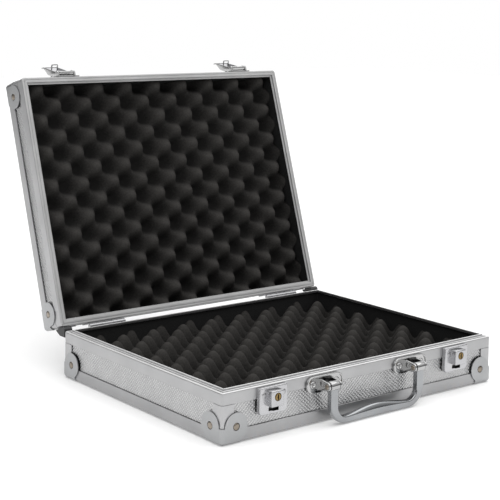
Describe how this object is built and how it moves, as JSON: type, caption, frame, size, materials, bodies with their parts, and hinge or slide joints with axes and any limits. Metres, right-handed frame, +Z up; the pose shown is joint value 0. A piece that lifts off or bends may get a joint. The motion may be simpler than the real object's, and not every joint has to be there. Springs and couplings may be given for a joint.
{
  "type": "aluminium carrying case",
  "caption": "Shallow aluminium case with foam-lined base and hinged lid, forked carrying handle, and key locks closed by hasps; shown open.",
  "frame": {"origin": "on the surface that the case stands on, midway left to right and midway front to back of the whole object with its lid open at rest", "axes": "+X to the case's right as seen from the handle side, +Y from the handle to the hinges, +Z up"},
  "size_m": [0.4654, 0.54, 0.416],
  "materials": {
    "aluminium": "satin anodised extrusion",
    "panel": "satin sheet embossed with small diamonds",
    "steel": "plated, pressed",
    "chrome": "nickel plate, satin on wide faces",
    "brass": "nickelled brass",
    "plastic": "moulded",
    "foam": "open-cell foam, convoluted"
  },
  "bodies": {
    "base": {"base_corner_back_left": "steel", "base_corner_back_right": "steel", "base_corner_front_left": "steel", "base_corner_front_right": "steel", "base_edge_extrusion": "aluminium", "base_foam": "foam", "base_panel_back": "panel", "base_panel_front": "panel", "base_panel_left": "panel", "base_panel_outer": "panel", "base_panel_right": "panel", "base_post_back_left": "aluminium", "base_post_back_right": "aluminium", "base_post_front_left": "aluminium", "base_post_front_right": "aluminium", "base_rim_back": "aluminium", "base_rim_front": "aluminium", "base_rim_left": "aluminium", "base_rim_right": "aluminium", "handle_bracket_left": "chrome", "handle_bracket_right": "chrome", "hinge_base_leaf_left": "steel", "hinge_base_leaf_right": "steel", "hinge_pin_left": "steel", "hinge_pin_right": "steel", "lid_rest_left": "plastic", "lid_rest_right": "plastic", "lock_case_left": "chrome", "lock_case_right": "chrome"},
    "lid": {"hasp_plate_left": "chrome", "hasp_plate_right": "chrome", "hinge_lid_leaf_left": "steel", "hinge_lid_leaf_right": "steel", "lid_corner_back_left": "steel", "lid_corner_back_right": "steel", "lid_corner_front_left": "steel", "lid_corner_front_right": "steel", "lid_edge_extrusion": "aluminium", "lid_foam": "foam", "lid_panel_back": "panel", "lid_panel_front": "panel", "lid_panel_left": "panel", "lid_panel_outer": "panel", "lid_panel_right": "panel", "lid_post_back_left": "aluminium", "lid_post_back_right": "aluminium", "lid_post_front_left": "aluminium", "lid_post_front_right": "aluminium", "lid_rim_back": "aluminium", "lid_rim_front": "aluminium", "lid_rim_left": "aluminium", "lid_rim_right": "aluminium"},
    "handle": {"handle": "chrome"},
    "hasp_left": {"hasp_left": "chrome"},
    "hasp_right": {"hasp_right": "chrome"},
    "key_left": {"key_plug_left": "brass"},
    "key_right": {"key_plug_right": "brass"}
  },
  "joints": [
    {"name": "lid_hinge", "type": "hinge", "parent": "base", "child": "lid", "pos_m": [0, 0.10822, 0.063], "axis": [1, 0, 0], "range_deg": [0, 108]},
    {"name": "hasp_left_hinge", "type": "hinge", "parent": "lid", "child": "hasp_left", "pos_m": [-0.157, 0.22174, 0.4059], "axis": [1, 0, 0], "range_deg": [0, 154]},
    {"name": "hasp_right_hinge", "type": "hinge", "parent": "lid", "child": "hasp_right", "pos_m": [0.157, 0.22174, 0.4059], "axis": [1, 0, 0], "range_deg": [0, 154]},
    {"name": "handle_swing", "type": "hinge", "parent": "base", "child": "handle", "pos_m": [0, -0.26398, 0.05], "axis": [-1, 0, 0], "range_deg": [-14, 170]},
    {"name": "key_left_turn", "type": "hinge", "parent": "base", "child": "key_left", "pos_m": [-0.157, -0.24648, 0.05], "axis": [0, 1, 0], "range_deg": [0, 75]},
    {"name": "key_right_turn", "type": "hinge", "parent": "base", "child": "key_right", "pos_m": [0.157, -0.24648, 0.05], "axis": [0, 1, 0], "range_deg": [0, 75]}
  ]
}
